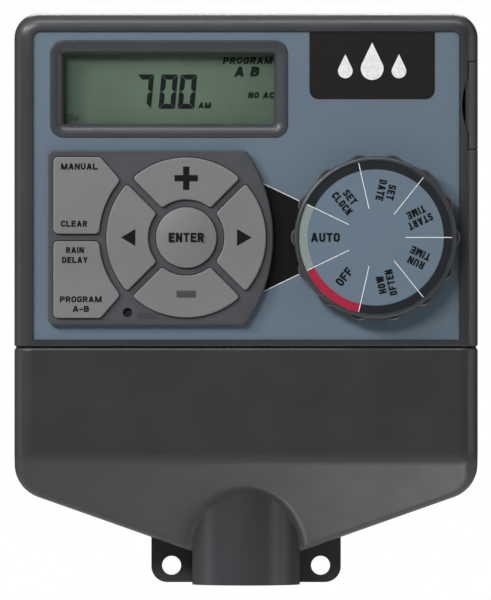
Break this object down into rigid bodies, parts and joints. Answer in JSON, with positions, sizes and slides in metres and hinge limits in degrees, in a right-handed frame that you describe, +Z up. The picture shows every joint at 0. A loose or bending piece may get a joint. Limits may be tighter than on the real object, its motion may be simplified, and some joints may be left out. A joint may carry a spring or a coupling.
{
  "type": "irrigation controller",
  "caption": "Wall-mounted irrigation controller with a display, a round keypad, a selector dial, a side battery drawer and a pull-off wiring cover with a conduit outlet.",
  "frame": {"origin": "on the wall plane, midway between the holes of the two screw tabs", "axes": "+X to the right as seen from the front, -Y out of the wall towards the user, +Z up"},
  "size_m": [0.159, 0.0536, 0.1964],
  "materials": {
    "housing_plastic": "fine moulded texture",
    "panel_overlay": "matt printed overlay",
    "bezel_plastic": "fine moulded texture",
    "keypad_plastic": "fine moulded texture",
    "key_plastic": "satin",
    "dial_plastic": "fine moulded texture",
    "label_film": "satin printed film",
    "black_plastic": "satin",
    "white_plastic": "satin",
    "terminal_plastic": "satin",
    "clear_window": "clear polished",
    "display_glass": "grey-green reflective display",
    "contact_rubber": "matt",
    "key_rubber": "matt",
    "circuit_board": "green solder mask",
    "capacitor_can": "sleeved can",
    "varistor_coat": "dipped coating",
    "ribbon_plastic": "satin",
    "screw_steel": "zinc plated",
    "spring_steel": "bright",
    "cell_steel": "bright",
    "contact_brass": "bright",
    "wire_sleeve": "red insulation"
  },
  "bodies": {
    "case": {"rear_housing": "housing_plastic", "front_housing": "housing_plastic", "faceplate": "panel_overlay", "case_screws": "screw_steel", "lcd_bezel": "bezel_plastic", "lcd_lens": "clear_window", "lcd_glass": "display_glass", "lcd_holder": "white_plastic", "lcd_contact_strips": "contact_rubber", "keypad_bezel": "keypad_plastic", "keypad_mat": "key_rubber", "reset_switch": "black_plastic", "main_board": "circuit_board", "board_screws": "screw_steel", "controller_chip": "black_plastic", "supply_capacitors": "capacitor_can", "station_triacs": "black_plastic", "surge_varistors": "varistor_coat", "ribbon_headers": "black_plastic", "ribbon_cable": "ribbon_plastic", "detent_spring": "spring_steel", "battery_contacts": "spring_steel", "terminal_board": "circuit_board", "terminal_board_screws": "screw_steel", "terminal_block": "terminal_plastic", "terminal_cages": "contact_brass", "terminal_screws": "screw_steel", "sensor_jumper": "wire_sleeve"},
    "dial": {"dial_knob": "dial_plastic", "dial_label": "label_film", "dial_rotor": "white_plastic", "dial_wiper": "contact_brass", "dial_screw": "screw_steel"},
    "battery_drawer": {"battery_drawer": "housing_plastic", "coin_cell": "cell_steel"},
    "terminal_cover": {"terminal_cover": "housing_plastic"},
    "key_plus": {"key_plus": "key_plastic"},
    "key_left": {"key_left": "key_plastic"},
    "key_minus": {"key_minus": "key_plastic"},
    "key_right": {"key_right": "key_plastic"},
    "key_enter": {"key_enter": "key_plastic"},
    "rocker_manual_clear": {"rocker_manual_clear": "key_plastic"},
    "rocker_rain_program": {"rocker_rain_program": "key_plastic"},
    "reset_button": {"reset_button": "black_plastic"}
  },
  "joints": [
    {"name": "dial_turn", "type": "hinge", "parent": "case", "child": "dial", "pos_m": [0.0443, -0.046, 0.1133], "axis": [0, -1, 0], "continuous": true},
    {"name": "drawer_pull", "type": "slide", "parent": "case", "child": "battery_drawer", "axis": [1, 0, 0], "range_m": [0, 0.03]},
    {"name": "cover_pull", "type": "slide", "parent": "case", "child": "terminal_cover", "axis": [0, -1, 0], "range_m": [0, 0.055]},
    {"name": "key_plus_press", "type": "slide", "parent": "case", "child": "key_plus", "axis": [0, 1, 0], "range_m": [0, 0.0012], "stiffness_N_per_m": 1500, "deforming": ["keypad_mat"]},
    {"name": "key_left_press", "type": "slide", "parent": "case", "child": "key_left", "axis": [0, 1, 0], "range_m": [0, 0.0012], "stiffness_N_per_m": 1500, "deforming": ["keypad_mat"]},
    {"name": "key_minus_press", "type": "slide", "parent": "case", "child": "key_minus", "axis": [0, 1, 0], "range_m": [0, 0.0012], "stiffness_N_per_m": 1500, "deforming": ["keypad_mat"]},
    {"name": "key_right_press", "type": "slide", "parent": "case", "child": "key_right", "axis": [0, 1, 0], "range_m": [0, 0.0012], "stiffness_N_per_m": 1500, "deforming": ["keypad_mat"]},
    {"name": "key_enter_press", "type": "slide", "parent": "case", "child": "key_enter", "axis": [0, 1, 0], "range_m": [0, 0.0012], "stiffness_N_per_m": 1500, "deforming": ["keypad_mat"]},
    {"name": "rocker_manual_clear_rock", "type": "hinge", "parent": "case", "child": "rocker_manual_clear", "pos_m": [-0.058, -0.0446, 0.12773], "axis": [1, 0, 0], "range_deg": [-2.5, 2.5], "stiffness_Nm_per_rad": 0.22, "deforming": ["keypad_mat"]},
    {"name": "rocker_rain_program_rock", "type": "hinge", "parent": "case", "child": "rocker_rain_program", "pos_m": [-0.058, -0.0446, 0.09888], "axis": [1, 0, 0], "range_deg": [-2.5, 2.5], "stiffness_Nm_per_rad": 0.22, "deforming": ["keypad_mat"]},
    {"name": "reset_press", "type": "slide", "parent": "case", "child": "reset_button", "axis": [0, 1, 0], "range_m": [0, 0.0005], "stiffness_N_per_m": 2000}
  ]
}
